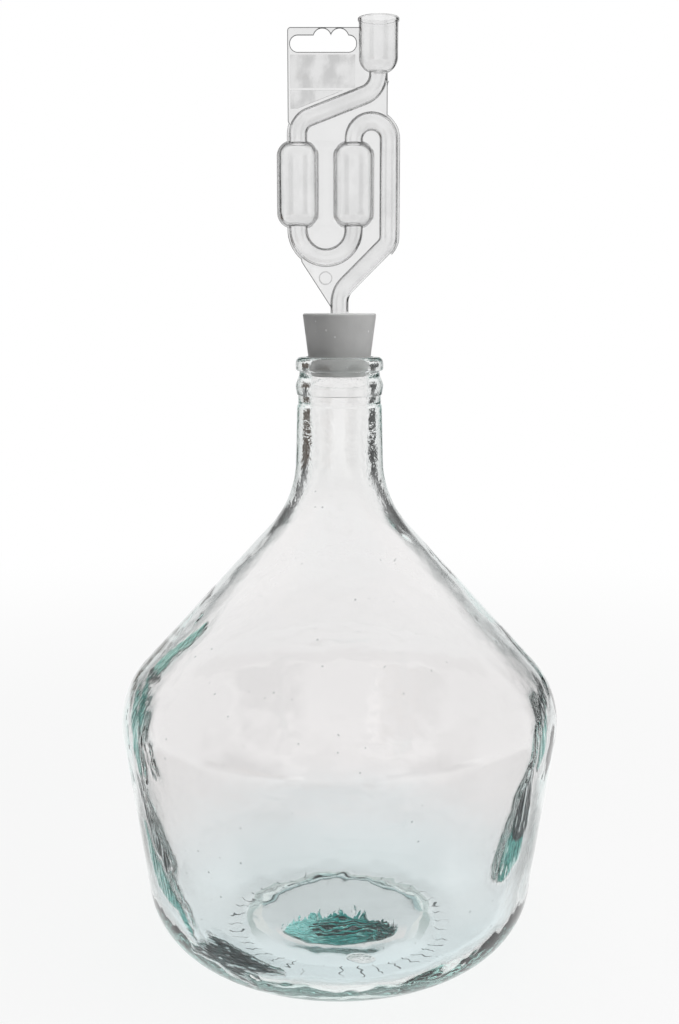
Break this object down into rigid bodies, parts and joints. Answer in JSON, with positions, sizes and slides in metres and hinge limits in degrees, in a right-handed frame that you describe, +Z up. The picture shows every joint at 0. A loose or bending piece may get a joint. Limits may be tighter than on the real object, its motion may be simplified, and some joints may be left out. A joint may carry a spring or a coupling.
{
  "type": "glass demijohn with airlock",
  "caption": "Wide-bodied pale green glass demijohn with a tapered white rubber bung in its neck and a clear blown S-shaped airlock standing in the bung.",
  "frame": {"origin": "middle of the bottle's foot ring, on the surface that it stands on", "axes": "+Z up along the bottle's axis; the airlock's flat card lies in the XZ plane with its cup towards +X, and the picture looks along +Y"},
  "size_m": [0.2202, 0.2202, 0.4583],
  "materials": {
    "glass": "pale green recycled glass, fire-polished, with slight waves",
    "rubber": "white moulded rubber, matt",
    "clear_plastic": "clear blown plastic, glossy, slightly cloudy in the card"
  },
  "bodies": {
    "bottle": {"glass_demijohn": "glass"},
    "bung": {"rubber_bung": "rubber"},
    "airlock": {"airlock": "clear_plastic"}
  },
  "joints": [
    {"name": "bung_lift", "type": "slide", "parent": "bottle", "child": "bung", "axis": [0, 0, 1], "range_m": [0, 0.05]},
    {"name": "airlock_lift", "type": "slide", "parent": "bung", "child": "airlock", "axis": [0, 0, 1], "range_m": [0, 0.05]}
  ]
}
